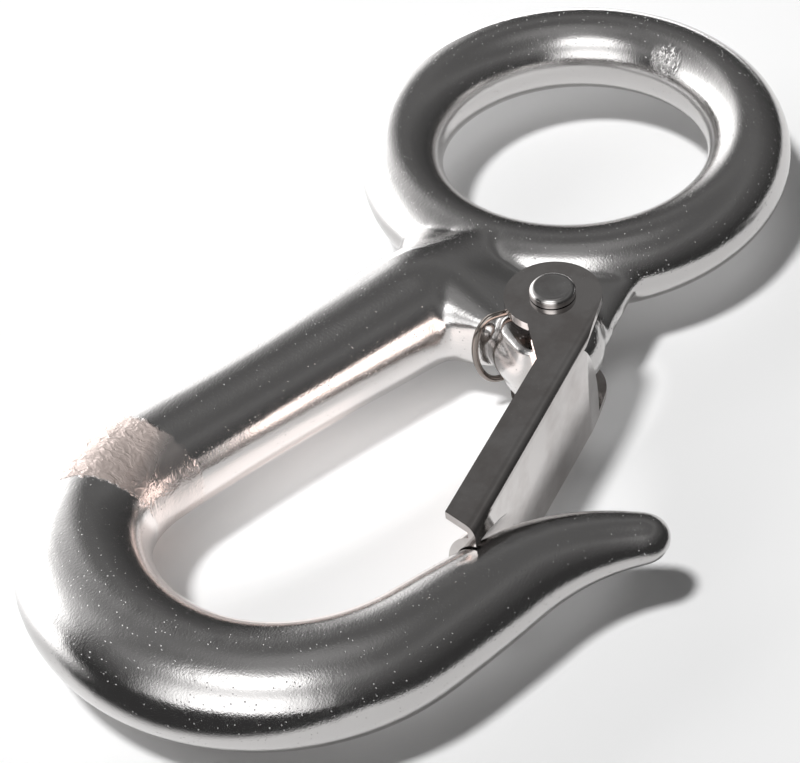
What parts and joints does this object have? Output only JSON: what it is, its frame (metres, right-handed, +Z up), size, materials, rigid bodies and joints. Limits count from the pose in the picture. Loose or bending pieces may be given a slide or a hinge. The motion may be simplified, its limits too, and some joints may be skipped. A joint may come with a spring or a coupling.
{
  "type": "eye snap hook",
  "caption": "Forged steel hook with a round eye, a leaning shank and a round bowl, its mouth closed by a spring-loaded gate of folded sheet that swings inward on a rivet.",
  "frame": {"origin": "centre of the eye, on the mid plane of the forging", "axes": "+X along the line of pull from the eye to the bowl, +Y toward the side where the hook opens, +Z up out of the surface that the hook lies on, along the rivet"},
  "size_m": [0.1243, 0.0654, 0.0178],
  "materials": {
    "plated_forging": "bright plating over a grainy forged surface, with scuffs",
    "plated_sheet": "bright smooth plating on folded sheet",
    "plated_rivet": "bright plating on a headed rivet",
    "spring_wire": "drawn spring wire"
  },
  "bodies": {
    "hook": {"hook_body": "plated_forging", "rivet": "plated_rivet", "spring": "spring_wire"},
    "gate": {"gate": "plated_sheet"}
  },
  "joints": [
    {"name": "gate_pivot", "type": "hinge", "parent": "hook", "child": "gate", "pos_m": [0.0312, 0.014, 0], "axis": [0, 0, 1], "range_deg": [-43, 0], "stiffness_Nm_per_rad": 0.2, "springref_deg": 25.78, "deforming": ["spring"]}
  ]
}
